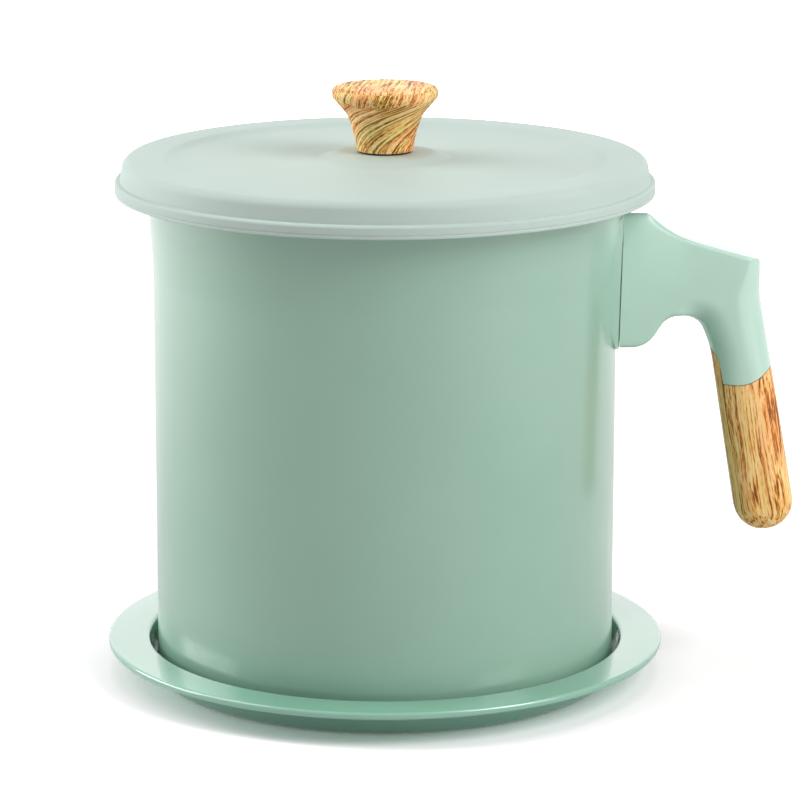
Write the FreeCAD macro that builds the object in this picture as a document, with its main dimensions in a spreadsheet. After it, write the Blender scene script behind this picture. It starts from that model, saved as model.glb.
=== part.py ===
import FreeCAD, Part
import math
import os
import Sketcher

# Bacon grease container: drip tray, lidded pot with an elbow handle, and a strainer.
# Millimetres, +Z up.  The origin is on the pot's axis, on the underside of the tray,
# and the handle points along +X.

SIZES = {
    # drip tray
    "tray_rim_width": 10.5,         # from the well's mouth out to the turned-down lip
    "tray_height": 10.2,
    "tray_sheet": 0.8,
    "tray_pot_gap": 0.05,           # play around the pot at the floor of the well
    "tray_well_slope": 2.4,         # how much wider the well is at its mouth
    "tray_lip_drop": 1.9,
    "tray_lip_hem": 1.4,
    "tray_foot_bend": 2.4,
    "tray_mouth_bend": 1.2,
    "tray_lip_round": 0.6,
    # pot
    "pot_radius": 63.75,
    "pot_height": 142.7,
    "pot_sheet": 0.8,
    "pot_corner": 6.0,
    "pot_foot_ring": 16.75,         # the base is dished inside this ring
    "pot_dish_rise": 1.0,
    "neck_step": 1.0,               # the wall widens a little below the rim
    "neck_low_drop": 29.5,          # measured down from the rim
    "neck_high_drop": 13.5,
    "neck_bend": 60.0,
    "rim_flange": 5.25,
    "rim_hem": 2.2,
    "rim_drop": 2.8,
    "rim_round": 0.95,
    "rim_bend": 1.6,
    # strainer
    "strainer_sheet": 0.7,
    "strainer_gap": 1.95,           # between its wall and the neck of the pot
    "strainer_wall_taper": 1.6,
    "strainer_depth": 36.0,
    "strainer_floor_ring": 9.4,     # floor left around the opening that the mesh covers
    "strainer_corner": 4.0,
    "strainer_bend": 1.5,
    "mesh_overlap": 4.0,
    "mesh_thick": 0.4,
    "mesh_ring_width": 3.6,
    "mesh_ring_sheet": 0.6,
    # lid
    "lid_sheet": 0.8,
    "lid_rim_gap": 1.7,             # between the skirt and the pot's rolled rim
    "lid_band_step": 1.5,           # how far the band stands out of the skirt
    "lid_band_height": 3.5,
    "lid_band_hem": 1.4,
    "lid_band_round": 0.7,
    "lid_groove_rise": 0.95,        # a fine line rolled into the band above its edge
    "lid_groove_depth": 0.2,
    "lid_skirt_height": 9.3,
    "lid_skirt_slope": 0.8,
    "lid_shoulder_round": 3.5,
    "lid_ring_width": 12.1,         # flat ring between shoulder and recess
    "lid_recess_slope": 1.6,
    "lid_recess_depth": 1.0,
    "lid_recess_round": 0.7,
    "lid_dome_rise": 0.7,
    "boss_radius": 16.8,
    "boss_slope": 3.0,
    "boss_rise": 1.6,
    "boss_round": 2.0,
    # knob
    "knob_base_radius": 7.85,
    "knob_waist_rise": 3.2,
    "knob_waist_radius": 8.0,
    "knob_flare_rise": 9.9,
    "knob_flare_radius": 10.3,
    "knob_rim_rise": 14.9,
    "knob_radius": 14.6,
    "knob_rim_height": 2.6,
    "knob_crown": 0.6,
    "knob_waist_bend": 20.0,
    "knob_flare_bend": 9.0,
    "knob_rim_round": 1.7,
    "knob_lip_round": 2.1,          # under the rim, where the flare meets it
    "gasket_radius": 7.1,
    "gasket_thick": 0.5,
    # bracket on the pot wall
    "bracket_half": 16.4,
    "bracket_face_half": 9.2,
    "bracket_low_stand": 1.0,       # stands this far out of the wall at its foot
    "bracket_high_stand": 0.7,      # and this far out of the neck at its head
    "bracket_foot_round": 7.5,
    "lug_half": 4.8,
    "lug_length": 12.5,
    "lug_top_drop": 23.8,
    "lug_low_drop": 38.2,
    # handle outline: reaches are measured out from the pot wall, drops down from the rim
    "arm_top_drop": 14.2,
    "arm_top_reach": 8.5,
    "arm_dip_reach": 15.8,
    "arm_dip_drop": 20.3,
    "elbow_reach": 39.5,
    "elbow_drop": 26.4,
    "elbow_round": 2.6,
    "outer_bend_drop": 36.5,
    "grip_tip_drop": 103.3,
    "grip_outer_reach": 51.5,
    "grip_tip_width": 16.8,
    "grip_tip_round": 7.4,
    "inner_bend_reach": 26.45,
    "inner_bend_drop": 52.0,
    "arch_right_reach": 22.25,
    "arch_left_reach": 13.85,
    "arch_drop": 41.5,
    "heel_reach": 8.05,
    "heel_drop": 50.4,
    "dip_bend": 28.0,
    "outer_bend": 30.0,
    "inner_bend": 30.0,
    "arch_right_bend": 7.2,
    "arch_left_bend": 5.6,
    "heel_round": 7.5,
    "arm_root_half": 9.2,
    "grip_tip_half": 7.4,
    "handle_edge_round": 2.6,
    "handle_seam": 0.2,
    # seam between arm and grip
    "seam_drop": 61.3,
    "seam_reach": 36.8,
    "seam_slope": 0.75,
    "seam_bend": 12.0,
    "tongue_half": 5.5,
    "tongue_rise": 9.6,
    "tongue_round": 4.6,
    "tongue_depth": 11.5,
    # fasteners
    "m4_radius": 1.95,
    "m4_hole_gap": 0.15,
    "head_radius": 3.4,
    "head_height": 2.5,
    "head_round": 0.7,
    "head_gap": 0.4,
    "recess_arm": 1.8,
    "recess_width": 1.0,
    "recess_depth": 1.4,
    "washer_thick": 0.8,
    "knob_washer_radius": 5.5,
    "insert_radius": 2.95,
    "insert_length": 9.0,
    "insert_seat": 0.6,
    "knob_screw_length": 12.0,
    "handle_screw_length": 13.5,
    "handle_screw_reach": 6.3,
    "handle_screw_sink": 7.0,
    "grip_screw_length": 54.0,
    "grip_screw_sink": 9.0,
    "grip_insert_gap": 1.5,
}


class Length:
    """A number of millimetres together with its formula in the sheet."""

    def __init__(self, number, formula):
        self.number = number
        self.formula = formula

    def __add__(self, other):
        other = length(other)
        return Length(self.number + other.number, "(%s + %s)" % (self.formula, other.formula))

    def __sub__(self, other):
        other = length(other)
        return Length(self.number - other.number, "(%s - %s)" % (self.formula, other.formula))

    def __mul__(self, factor):
        factor = length(factor)
        return Length(self.number * factor.number, "(%s * %s)" % (self.formula, factor.formula))

    def __truediv__(self, divisor):
        divisor = length(divisor)
        return Length(self.number / divisor.number, "(%s / %s)" % (self.formula, divisor.formula))

    def __neg__(self):
        return Length(-self.number, "(0 - %s)" % self.formula)

    __radd__ = __add__
    __rmul__ = __mul__


def length(value):
    return value if isinstance(value, Length) else Length(float(value), "%r" % value)


def slant_angle(run, rise):
    """Angle from the vertical of a line that moves across by run while it rises."""
    return Length(
        math.degrees(math.atan2(run.number, rise.number)),
        "(atan2(%s; %s) / 1 deg)" % (run.formula, rise.formula),
    )


def root_of(value):
    """Square root of a number and of its formula."""
    return Length(math.sqrt(value.number), "sqrt(%s)" % value.formula)


class Sheet:
    """The driving dimensions, each reached as an attribute."""

    def __init__(self, doc, sizes):
        self.cells = doc.addObject("Spreadsheet::Sheet", "Sizes")
        for row, (name, number) in enumerate(sizes.items(), start=1):
            self.cells.set("A%d" % row, name)
            self.cells.set("B%d" % row, "%r" % number)
            self.cells.setAlias("B%d" % row, name)
            setattr(self, name, Length(number, "Sizes." + name))


doc = FreeCAD.newDocument("grease_container")
s = Sheet(doc, SIZES)
nothing = Length(0.0, "0")
nodes = []


# levels above the tray's underside, each standing on the one below
pot_foot = s.tray_sheet
pot_rim = pot_foot + s.pot_height
lid_underside = pot_rim + s.strainer_sheet
lid_top = lid_underside + s.lid_sheet
boss_top = lid_top - s.lid_recess_depth + s.lid_dome_rise + s.boss_rise
knob_seat = boss_top + s.gasket_thick

# radii shared by two or more pieces
neck_radius = s.pot_radius + s.neck_step
rim_radius = neck_radius + s.rim_flange
strainer_wall_radius = neck_radius - s.pot_sheet - s.strainer_gap
bracket_low_radius = s.pot_radius + s.bracket_low_stand
bracket_high_radius = neck_radius + s.bracket_high_stand
lid_skirt_radius = rim_radius + s.lid_rim_gap + s.lid_sheet
lid_band_radius = lid_skirt_radius + s.lid_band_step
lid_shoulder_radius = lid_skirt_radius - s.lid_skirt_slope
m4_hole = s.m4_radius + s.m4_hole_gap

# how far the grip's inner side stands out at its tip
grip_inner_reach = s.grip_outer_reach - s.grip_tip_width


def bind(thing, prop, size):
    """Ties one property to its formula."""
    thing.setExpression(prop, size.formula)


def new_body(name, up=nothing):
    """An empty body whose frame stands at the given level."""
    body = doc.addObject("PartDesign::Body", name)
    body.Label = name
    bind(body, "Placement.Base.z", up)
    return body


def keep(thing, name):
    """Marks a finished sub-part as a node."""
    thing.Label = name
    nodes.append(thing)
    return thing


def origin_plane(body, role):
    for feature in body.Origin.OriginFeatures:
        if feature.Role == role:
            return feature
    raise ValueError(role)


def corner_cut(before, corner, after, radius):
    """The two tangent points and the centre of a rounded corner."""
    here = FreeCAD.Vector(corner[0].number, corner[1].number, 0)
    back = FreeCAD.Vector(before[0].number, before[1].number, 0) - here
    ahead = FreeCAD.Vector(after[0].number, after[1].number, 0) - here
    back.normalize()
    ahead.normalize()
    half = back.getAngle(ahead) / 2.0
    reach = radius / math.tan(half)
    middle = (back + ahead).normalize()
    return here + back * reach, here + ahead * reach, here + middle * (radius / math.sin(half))


def place_point(sketch, geometry, end, corner):
    """Constraints that hold one point of the outline at its two formulas."""
    for kind, size, axis in (("DistanceX", corner[0], -2), ("DistanceY", corner[1], -1)):
        if size.formula == "0":
            sketch.addConstraint(Sketcher.Constraint("PointOnObject", geometry, end, axis))
            continue
        index = sketch.addConstraint(
            Sketcher.Constraint(kind, -1, 1, geometry, end, size.number)
        )
        bind(sketch, "Constraints[%d]" % index, size)


def outline(sketch, corners):
    """Closed outline through corners, each (across, up) or (across, up, rounding radius)."""
    count = len(corners)
    joins = []
    for i, corner in enumerate(corners):
        if len(corner) == 3:
            joins.append(
                corner_cut(corners[i - 1], corner, corners[(i + 1) % count], corner[2].number)
            )
        else:
            here = FreeCAD.Vector(corner[0].number, corner[1].number, 0)
            joins.append((here, here, None))
    lines = []
    for i in range(count):
        start = joins[i][1]
        end = joins[(i + 1) % count][0]
        lines.append(sketch.addGeometry(Part.LineSegment(start, end), False))
    for i, corner in enumerate(corners):
        before = lines[i - 1]
        after = lines[i]
        if len(corner) == 2:
            sketch.addConstraint(Sketcher.Constraint("Coincident", before, 2, after, 1))
            place_point(sketch, after, 1, corner)
            continue
        first, last, centre = joins[i]
        radius = corner[2]
        turn = (first - centre).cross(last - centre).z
        middle = centre + ((first + last) * 0.5 - centre).normalize() * radius.number
        arc = sketch.addGeometry(Part.Arc(first, middle, last), False)
        head, tail = (1, 2) if turn > 0 else (2, 1)
        virtual = sketch.addGeometry(
            Part.Point(FreeCAD.Vector(corner[0].number, corner[1].number, 0)), True
        )
        sketch.addConstraint(
            [
                Sketcher.Constraint("Tangent", before, 2, arc, head),
                Sketcher.Constraint("Tangent", arc, tail, after, 1),
                Sketcher.Constraint("PointOnObject", virtual, 1, before),
                Sketcher.Constraint("PointOnObject", virtual, 1, after),
            ]
        )
        place_point(sketch, virtual, 1, corner)
        index = sketch.addConstraint(Sketcher.Constraint("Radius", arc, radius.number))
        bind(sketch, "Constraints[%d]" % index, radius)


def new_sketch(body, plane, corner_lists, shift=nothing):
    """A sketch of closed outlines on one of the body's own planes."""
    sketch = body.newObject("Sketcher::SketchObject", body.Name + "_sketch")
    sketch.AttachmentSupport = [(origin_plane(body, plane), "")]
    sketch.MapMode = "FlatFace"
    bind(sketch, "AttachmentOffset.Base.z", shift)
    for corners in corner_lists:
        outline(sketch, corners)
    return sketch


def spin(body, corners, cut=False):
    """Turns an outline of (radius, height) corners about the body's axis."""
    kind = "PartDesign::Groove" if cut else "PartDesign::Revolution"
    sketch = new_sketch(body, "XZ_Plane", [corners])
    feature = body.newObject(kind, body.Name + "_spin")
    feature.Profile = sketch
    feature.ReferenceAxis = (sketch, ["V_Axis"])
    feature.Angle = 360.0
    body.Tip = feature
    return feature


def push(body, plane, corner_lists, depth, cut=False, midplane=False, back=False, shift=nothing):
    """Pads or pockets outlines drawn on a plane of the body."""
    kind = "PartDesign::Pocket" if cut else "PartDesign::Pad"
    sketch = new_sketch(body, plane, corner_lists, shift)
    feature = body.newObject(kind, body.Name + "_push")
    feature.Profile = sketch
    feature.Midplane = midplane
    feature.Reversed = back
    bind(feature, "Length", depth)
    body.Tip = feature
    return feature


def turned(name, corners, up=nothing):
    """A sub-part that is one outline turned about the vertical axis."""
    body = new_body(name, up)
    spin(body, corners)
    return keep(body, name)


def rod(name, radius, reach, up, height, lean=None, clear=nothing):
    """A plain cylinder used as a cutter, standing at (reach, 0, up) and leaning back by an angle."""
    tool = doc.addObject("Part::Cylinder", name)
    tool.Label = name
    bind(tool, "Radius", radius + clear)
    bind(tool, "Height", height)
    stand(tool, reach, up, lean)
    return tool


def stand(thing, reach, up, lean=None):
    """Puts a thing at (reach, 0, up), leaning towards the pot."""
    bind(thing, "Placement.Base.x", reach)
    bind(thing, "Placement.Base.z", up)
    if lean is not None:
        thing.Placement.Rotation = FreeCAD.Rotation(FreeCAD.Vector(0, -1, 0), lean.number)
        thing.setExpression("Placement.Rotation.Angle", "%s * 1 deg" % lean.formula)


def carve(name, base, tools):
    """Cuts tools out of a base and keeps what is left."""
    cut = doc.addObject("Part::Cut", name)
    cut.Base = base
    if len(tools) == 1:
        cut.Tool = tools[0]
    else:
        joined = doc.addObject("Part::MultiFuse", name + "_tools")
        joined.Shapes = tools
        cut.Tool = joined
    return keep(cut, name)


def edges_where(shape, wanted):
    return ["Edge%d" % i for i, edge in enumerate(shape.Edges, start=1) if wanted(edge)]


def make_drip_tray():
    floor = s.tray_sheet
    base = s.pot_radius + s.tray_pot_gap + s.tray_sheet
    mouth = base + s.tray_well_slope
    lip = mouth + s.tray_rim_width
    lip_in = lip - s.tray_lip_hem
    under = s.tray_height - s.tray_sheet
    inner_bend = s.tray_foot_bend - s.tray_sheet
    turned("drip_tray", [
        (nothing, nothing),
        (base, nothing, s.tray_foot_bend),
        (mouth, under, s.tray_mouth_bend),
        (lip_in, under),
        (lip_in, s.tray_height - s.tray_lip_drop),
        (lip, s.tray_height - s.tray_lip_drop, s.tray_lip_round),
        (lip, s.tray_height, s.tray_lip_round),
        (mouth - s.tray_sheet, s.tray_height, s.tray_mouth_bend),
        (base - s.tray_sheet, floor, inner_bend),
        (nothing, floor),
    ])


def pot_outer_corners():
    """The pot's outside from its base ring up to the rim's underside, pot_foot as zero."""
    return [
        (s.pot_radius, nothing, s.pot_corner),
        (s.pot_radius, s.pot_height - s.neck_low_drop, s.neck_bend),
        (neck_radius, s.pot_height - s.neck_high_drop, s.neck_bend),
    ]


def make_pot_body():
    rise = s.pot_dish_rise
    sheet = s.pot_sheet
    dish = s.pot_radius - s.pot_foot_ring
    neck_low = s.pot_height - s.neck_low_drop
    neck_high = s.pot_height - s.neck_high_drop
    rim_in = rim_radius - s.rim_hem
    under = s.pot_height - sheet
    turned("pot_body", [
        (nothing, rise),
        (dish - rise, rise),
        (dish, nothing),
    ] + pot_outer_corners() + [
        (neck_radius, under),
        (rim_in, under),
        (rim_in, s.pot_height - s.rim_drop),
        (rim_radius, s.pot_height - s.rim_drop, s.rim_round),
        (rim_radius, s.pot_height, s.rim_round),
        (neck_radius - sheet, s.pot_height, s.rim_bend),
        (neck_radius - sheet, neck_high, s.neck_bend),
        (s.pot_radius - sheet, neck_low, s.neck_bend),
        (s.pot_radius - sheet, sheet, s.pot_corner - sheet),
        (dish + sheet, sheet),
        (dish - rise + sheet, rise + sheet),
        (nothing, rise + sheet),
    ], pot_foot)


def make_strainer():
    sheet = s.strainer_sheet
    low_radius = strainer_wall_radius - s.strainer_wall_taper
    floor_radius = low_radius - s.strainer_floor_ring
    lip_radius = lid_shoulder_radius - s.lid_sheet - s.lid_shoulder_round
    bend = s.strainer_bend + sheet
    corner = s.strainer_corner + sheet
    turned("strainer_cup", [
        (floor_radius, -s.strainer_depth),
        (low_radius, -s.strainer_depth, corner),
        (strainer_wall_radius, nothing, s.strainer_bend),
        (lip_radius, nothing),
        (lip_radius, sheet),
        (strainer_wall_radius - sheet, sheet, bend),
        (low_radius - sheet, sheet - s.strainer_depth, s.strainer_corner),
        (floor_radius, sheet - s.strainer_depth),
    ], pot_rim)
    mesh_radius = floor_radius + s.mesh_overlap
    mesh_low = pot_rim - s.strainer_depth + sheet
    turned("strainer_mesh", [
        (nothing, nothing),
        (mesh_radius, nothing),
        (mesh_radius, s.mesh_thick),
        (nothing, s.mesh_thick),
    ], mesh_low)
    turned("mesh_ring", [
        (mesh_radius - s.mesh_ring_width, nothing),
        (mesh_radius, nothing),
        (mesh_radius, s.mesh_ring_sheet),
        (mesh_radius - s.mesh_ring_width, s.mesh_ring_sheet),
    ], mesh_low + s.mesh_thick)


def make_lid_panel():
    """The lid's outline, with its flat ring's top as zero."""
    sheet = s.lid_sheet
    floor_level = -s.lid_recess_depth
    dome_level = s.lid_dome_rise - s.lid_recess_depth
    top_level = dome_level + s.boss_rise
    boss_in = s.boss_radius - s.boss_slope
    recess = lid_shoulder_radius - s.lid_ring_width
    recess_in = recess - s.lid_recess_slope
    band_low = -s.lid_skirt_height
    band_high = s.lid_band_height - s.lid_skirt_height
    band_in = lid_band_radius - s.lid_band_hem
    groove = band_low + s.lid_groove_rise
    turned("lid_panel", [
        (m4_hole, top_level),
        (boss_in, top_level, s.boss_round),
        (s.boss_radius, dome_level, s.boss_round),
        (recess_in, floor_level, s.lid_recess_round),
        (recess, nothing, s.lid_recess_round),
        (lid_shoulder_radius, nothing, s.lid_shoulder_round),
        (lid_skirt_radius, band_high),
        (lid_band_radius, band_high, s.lid_band_round),
        (lid_band_radius, groove + s.lid_groove_depth),
        (lid_band_radius - s.lid_groove_depth, groove),
        (lid_band_radius, groove - s.lid_groove_depth),
        (lid_band_radius, band_low),
        (band_in, band_low),
        (band_in, band_high - sheet),
        (lid_skirt_radius - sheet, band_high - sheet),
        (lid_shoulder_radius - sheet, -sheet, s.lid_shoulder_round - sheet),
        (recess + sheet, -sheet),
        (recess_in + sheet, floor_level - sheet),
        (s.boss_radius - sheet, dome_level - sheet),
        (boss_in - sheet, top_level - sheet),
        (m4_hole, top_level - sheet),
    ], lid_top)


def make_knob():
    turned("knob_gasket", [
        (m4_hole, nothing),
        (s.gasket_radius, nothing),
        (s.gasket_radius, s.gasket_thick),
        (m4_hole, s.gasket_thick),
    ], boss_top)
    bore_top = s.insert_seat + s.insert_length
    body = new_body("lid_knob", knob_seat)
    spin(body, [
        (nothing, nothing),
        (s.knob_base_radius, nothing),
        (s.knob_waist_radius, s.knob_waist_rise, s.knob_waist_bend),
        (s.knob_flare_radius, s.knob_flare_rise, s.knob_flare_bend),
        (s.knob_radius, s.knob_rim_rise, s.knob_lip_round),
        (s.knob_radius, s.knob_rim_rise + s.knob_rim_height, s.knob_rim_round),
        (nothing, s.knob_rim_rise + s.knob_rim_height + s.knob_crown),
    ])
    spin(body, [
        (nothing, nothing),
        (m4_hole + s.m4_hole_gap, nothing),
        (m4_hole + s.m4_hole_gap, s.insert_seat),
        (s.insert_radius, s.insert_seat),
        (s.insert_radius, bore_top),
        (m4_hole, bore_top),
        (m4_hole, bore_top + s.knob_screw_length - s.insert_length),
        (nothing, bore_top + s.knob_screw_length - s.insert_length),
    ], cut=True)
    keep(body, "lid_knob")


def insert(name, reach, up, lean=None):
    """A brass tube that the moulding grips and the screw bites into."""
    body = turned(name, [
        (m4_hole, nothing),
        (s.insert_radius, nothing),
        (s.insert_radius, s.insert_length),
        (m4_hole, s.insert_length),
    ])
    stand(body, reach, up, lean)


def washer(name, radius, reach, up, lean=None):
    body = turned(name, [
        (m4_hole, nothing),
        (radius, nothing),
        (radius, s.washer_thick),
        (m4_hole, s.washer_thick),
    ])
    stand(body, reach, up, lean)


def screw(name, shank, reach, up, lean=None):
    """An M4 screw with its bearing face at the given place and its shank pointing up."""
    body = new_body(name)
    tip = s.m4_radius - s.recess_width / 2
    spin(body, [
        (nothing, -s.head_height),
        (s.head_radius, -s.head_height, s.head_round),
        (s.head_radius, nothing),
        (s.m4_radius, nothing),
        (s.m4_radius, shank - s.recess_width / 2),
        (tip, shank),
        (nothing, shank),
    ])
    arm = s.recess_arm
    half = s.recess_width / 2
    push(body, "XY_Plane", [[
        (-arm, -half), (-half, -half), (-half, -arm), (half, -arm), (half, -half), (arm, -half),
        (arm, half), (half, half), (half, arm), (-half, arm), (-half, half), (-arm, half),
    ]], s.recess_depth, cut=True, back=True, shift=-s.head_height)
    stand(body, reach, up, lean)
    return keep(body, name)


def make_knob_fixing():
    underside = boss_top - s.lid_sheet
    insert("knob_insert", nothing, knob_seat + s.insert_seat)
    washer("knob_washer", s.knob_washer_radius, nothing, underside - s.washer_thick)
    screw("knob_screw", s.knob_screw_length, nothing, underside - s.washer_thick)


def out(reach):
    """A distance out from the pot wall, as a distance from the axis."""
    return s.pot_radius + reach


def down(drop):
    """A distance down from the pot's rim, as a height above its base."""
    return s.pot_height - drop


def bracket_core(gap):
    """The slightly conical face where bracket and arm meet, as an outline turned about the pot."""
    high = down(s.arm_top_drop)
    low = down(s.heel_drop)
    over = s.lid_skirt_height
    return [
        (nothing, low - over),
        (bracket_low_radius + gap, low - over),
        (bracket_low_radius + gap, low),
        (bracket_high_radius + gap, high),
        (bracket_high_radius + gap, high + over),
        (nothing, high + over),
    ]


def bracket_flank(side):
    """What is cut away so that the bracket thins out towards the wall."""
    face = root_of(
        bracket_high_radius * bracket_high_radius - s.bracket_face_half * s.bracket_face_half
    )
    wall = root_of(s.pot_radius * s.pot_radius - s.bracket_half * s.bracket_half)
    wide = s.bracket_half + s.arm_root_half
    far = out(s.arm_top_reach)
    return [
        (face, s.bracket_face_half * side),
        (wall, s.bracket_half * side),
        (wall, wide * side),
        (far, wide * side),
        (far, s.bracket_face_half * side),
    ]


def make_bracket():
    """A saddle welded to the wall, and the tapped lug on it that goes into the arm."""
    high = down(s.arm_top_drop)
    low = down(s.heel_drop)
    half = s.bracket_half
    blank = new_body("bracket_blank", pot_foot)
    push(blank, "YZ_Plane", [[
        (-half, high),
        (half, high),
        (half, low, s.bracket_foot_round),
        (-half, low, s.bracket_foot_round),
    ]], s.bracket_half, shift=bracket_high_radius - s.bracket_half)
    spin(blank, [(nothing, nothing)] + pot_outer_corners() + [
        (neck_radius, s.pot_height),
        (nothing, s.pot_height),
    ], cut=True)
    push(blank, "XY_Plane", [bracket_flank(1), bracket_flank(-1)], s.pot_height, cut=True, back=True)
    ring = new_body("bracket_zone", pot_foot)
    spin(ring, bracket_core(nothing))
    saddle = doc.addObject("Part::MultiCommon", "handle_bracket")
    saddle.Shapes = [blank, ring]
    keep(saddle, "handle_bracket")

    lug_low = down(s.lug_low_drop)
    lug_high = down(s.lug_top_drop)
    lug = new_body("lug_blank", pot_foot)
    push(lug, "YZ_Plane", [[
        (-s.lug_half, lug_low),
        (s.lug_half, lug_low),
        (s.lug_half, lug_high),
        (-s.lug_half, lug_high),
    ]], s.lug_length + s.bracket_low_stand, shift=s.pot_radius)
    core = new_body("lug_end_cutter", pot_foot)
    spin(core, bracket_core(nothing))
    hole = rod("lug_hole", m4_hole, out(s.handle_screw_reach), pot_foot + lug_low,
               lug_high - lug_low)
    carve("handle_lug", lug, [core, hole])


def handle_corners():
    """The whole handle seen from the side, arm and grip together."""
    root = s.pot_radius - s.arm_top_reach
    return [
        (root, down(s.arm_top_drop)),
        (out(s.arm_top_reach), down(s.arm_top_drop)),
        (out(s.arm_dip_reach), down(s.arm_dip_drop), s.dip_bend),
        (out(s.elbow_reach), down(s.elbow_drop), s.elbow_round),
        (out(s.elbow_reach), down(s.outer_bend_drop), s.outer_bend),
        (out(s.grip_outer_reach), down(s.grip_tip_drop), s.grip_tip_round),
        (out(grip_inner_reach), down(s.grip_tip_drop), s.grip_tip_round),
        (out(s.inner_bend_reach), down(s.inner_bend_drop), s.inner_bend),
        (out(s.arch_right_reach), down(s.arch_drop), s.arch_right_bend),
        (out(s.arch_left_reach), down(s.arch_drop), s.arch_left_bend),
        (out(s.heel_reach), down(s.heel_drop), s.heel_round),
        (root, down(s.heel_drop)),
    ]


def flank_corners(side):
    """What is cut away beside the handle, which tapers towards the grip."""
    near = s.pot_radius - s.arm_top_reach
    far = out(s.grip_outer_reach) + s.grip_tip_round
    wide = s.arm_root_half * 2
    return [
        (near, s.arm_root_half * side),
        (far, s.grip_tip_half * side),
        (far, wide * side),
        (near, wide * side),
    ]


def make_handle_form():
    """The outer form that arm and grip share, before the seam divides it."""
    body = new_body("handle_form", pot_foot)
    push(body, "XZ_Plane", [handle_corners()], s.arm_root_half * 2, midplane=True)
    blank = push(
        body, "XY_Plane", [flank_corners(1), flank_corners(-1)], s.pot_height, cut=True, back=True
    )
    doc.recompute()
    root = s.pot_radius.number - s.arm_top_reach.number

    def on_flank(edge):
        middle = edge.valueAt((edge.FirstParameter + edge.LastParameter) / 2)
        return abs(middle.y) >= s.grip_tip_half.number and middle.x > root + 0.1

    rounding = body.newObject("PartDesign::Fillet", "handle_edges")
    rounding.Base = (blank, edges_where(blank.Shape, on_flank))
    bind(rounding, "Radius", s.handle_edge_round)
    body.Tip = rounding
    return body


def seam_corners(gap):
    """The side of the seam that belongs to the grip, seen from the side."""
    near = out(s.arch_left_reach)
    far = out(s.grip_outer_reach) + s.grip_tip_round
    level = down(s.seam_drop) + gap
    floor = down(s.grip_tip_drop) - s.grip_tip_round
    turn = out(s.seam_reach)
    return [
        (near, floor),
        (far, floor),
        (far, level + (far - turn) * s.seam_slope),
        (turn, level, s.seam_bend),
        (near, level),
    ]


def grip_zone(name, gap):
    """Everything below the seam, and the tongue that the grip pushes up into the arm."""
    zone = new_body(name, pot_foot)
    push(zone, "XZ_Plane", [seam_corners(gap)], s.arm_root_half * 3, midplane=True)
    half = s.tongue_half + gap
    top = down(s.seam_drop) + s.tongue_rise + gap
    low = down(s.seam_drop) - s.tongue_rise
    near = out(s.arch_right_reach)
    back = out(s.inner_bend_reach) + s.tongue_depth + gap
    push(zone, "YZ_Plane", [[
        (-half, low),
        (half, low),
        (half, top, s.tongue_round),
        (-half, top, s.tongue_round),
    ]], back - near, shift=near)
    return zone


# the line that the grip's screw follows, from the middle of its tip up into the elbow
tip_middle = out((s.grip_outer_reach + grip_inner_reach) / 2)
tip_level = pot_foot + down(s.grip_tip_drop)
outer_slope = (s.grip_outer_reach - s.elbow_reach) / (s.grip_tip_drop - s.outer_bend_drop)
outer_there = s.elbow_reach + outer_slope * (s.inner_bend_drop - s.outer_bend_drop)
grip_run = tip_middle - out((outer_there + s.inner_bend_reach) / 2)
grip_rise = s.grip_tip_drop - s.inner_bend_drop
grip_hypotenuse = root_of(grip_run * grip_run + grip_rise * grip_rise)
grip_lean = slant_angle(grip_run, grip_rise)


def up_the_grip(distance):
    """Reach and level of a point on that line, measured from the tip."""
    return (
        tip_middle - distance * grip_run / grip_hypotenuse,
        tip_level + distance * grip_rise / grip_hypotenuse,
    )


def make_arm(form):
    """The moulded elbow: socket for the lug at one end and for the grip's tongue at the other."""
    gap = s.handle_seam
    core = new_body("arm_end_cutter", pot_foot)
    spin(core, bracket_core(gap))
    socket = new_body("lug_socket_cutter", pot_foot)
    push(socket, "YZ_Plane", [[
        (-s.lug_half - gap, down(s.lug_low_drop) - gap),
        (s.lug_half + gap, down(s.lug_low_drop) - gap),
        (s.lug_half + gap, down(s.lug_top_drop) + gap),
        (-s.lug_half - gap, down(s.lug_top_drop) + gap),
    ]], s.bracket_low_stand + s.lug_length + gap, shift=s.pot_radius)
    reach = out(s.handle_screw_reach)
    heel = pot_foot + down(s.heel_drop)
    lug_low = pot_foot + down(s.lug_low_drop)
    sink = rod("arm_screw_sink", s.head_radius, reach, heel - s.handle_screw_sink,
               s.handle_screw_sink * 2, clear=s.head_gap)
    hole = rod("arm_screw_hole", m4_hole, reach, heel, lug_low - heel, clear=s.m4_hole_gap)
    start = insert_start - s.grip_insert_gap * 2
    bore = rod("arm_insert_bore", s.insert_radius, *up_the_grip(insert_start), s.insert_length,
               grip_lean)
    tail = rod("arm_screw_tail", m4_hole, *up_the_grip(start),
               s.insert_length + s.grip_insert_gap * 4, grip_lean)
    zone = grip_zone("arm_seam_cutter", gap)
    carve("handle_arm", form, [core, socket, sink, hole, bore, tail, zone])


def make_grip(form):
    """The wood-grain grip: rounded at its tip, with a tongue that keeps it from turning."""
    zone = grip_zone("grip_seam_zone", nothing)
    blank = doc.addObject("Part::MultiCommon", "grip_blank")
    blank.Shapes = [form, zone]
    sink = rod("grip_screw_sink", s.head_radius, *up_the_grip(-s.grip_screw_sink),
               s.grip_screw_sink * 2, grip_lean, clear=s.head_gap)
    hole = rod("grip_screw_hole", m4_hole, *up_the_grip(nothing), insert_start, grip_lean,
               clear=s.m4_hole_gap)
    carve("handle_grip", blank, [sink, hole])


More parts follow.
